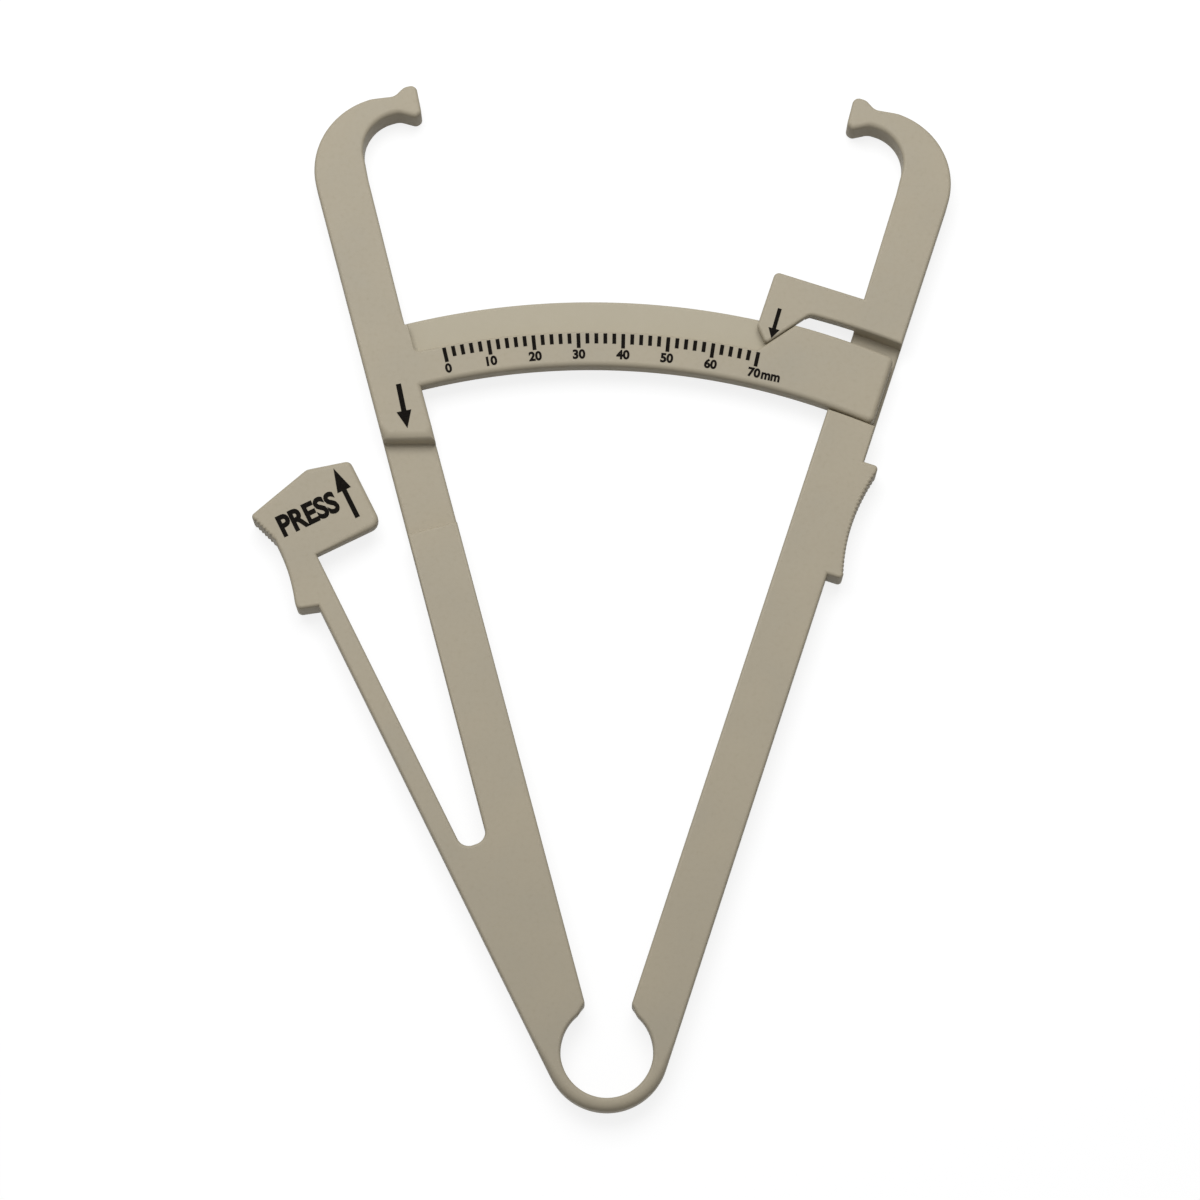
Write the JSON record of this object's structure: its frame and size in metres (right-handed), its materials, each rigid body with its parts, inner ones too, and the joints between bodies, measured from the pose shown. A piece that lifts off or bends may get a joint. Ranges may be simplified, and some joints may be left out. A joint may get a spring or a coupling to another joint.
{
  "type": "skinfold caliper",
  "caption": "Flat moulded plastic skinfold caliper: two hooked arms joined by a springy C ring, a curved millimetre scale with a pointer flag, and a thumb press lever.",
  "frame": {"origin": "centre of the hinge ring's bore, on the back plane", "axes": "+Y from the ring towards the jaws along the middle line between the arms, +X to the right seen from the front, +Z out of the printed front"},
  "size_m": [0.1135, 0.1701, 0.005],
  "materials": {
    "body_plastic": "satin off-white",
    "ink": "flat black print"
  },
  "bodies": {
    "scale_side": {"hinge_ring": "body_plastic", "scale_arm_foot": "body_plastic", "scale_arm_beam": "body_plastic", "pad_track": "body_plastic", "scale_arm_head": "body_plastic", "left_jaw_hook": "body_plastic", "left_jaw": "body_plastic", "scale_arc": "body_plastic", "arc_end_block": "body_plastic", "scale_ticks": "ink", "arm_arrow": "ink"},
    "pointer_side": {"pointer_arm_foot": "body_plastic", "pointer_arm_beam": "body_plastic", "arc_channel": "body_plastic", "pointer_arm_head": "body_plastic", "pointer_tab": "body_plastic", "pointer_arrow": "ink", "right_jaw_hook": "body_plastic", "right_jaw": "body_plastic", "finger_rest": "body_plastic"},
    "press_lever": {"lever_beam": "body_plastic", "thumb_rest": "body_plastic", "press_pad": "body_plastic", "press_arrow": "ink"}
  },
  "joints": [
    {"name": "jaw_hinge", "type": "hinge", "parent": "scale_side", "child": "pointer_side", "pos_m": [0, 0, 0], "axis": [0, 0, 1], "range_deg": [0, 25.55], "stiffness_Nm_per_rad": 0.33},
    {"name": "press_hinge", "type": "hinge", "parent": "scale_side", "child": "press_lever", "pos_m": [-0.02485, 0.0332, 0], "axis": [0, 0, 1], "range_deg": [-11.6, 0], "stiffness_Nm_per_rad": 1.8}
  ]
}
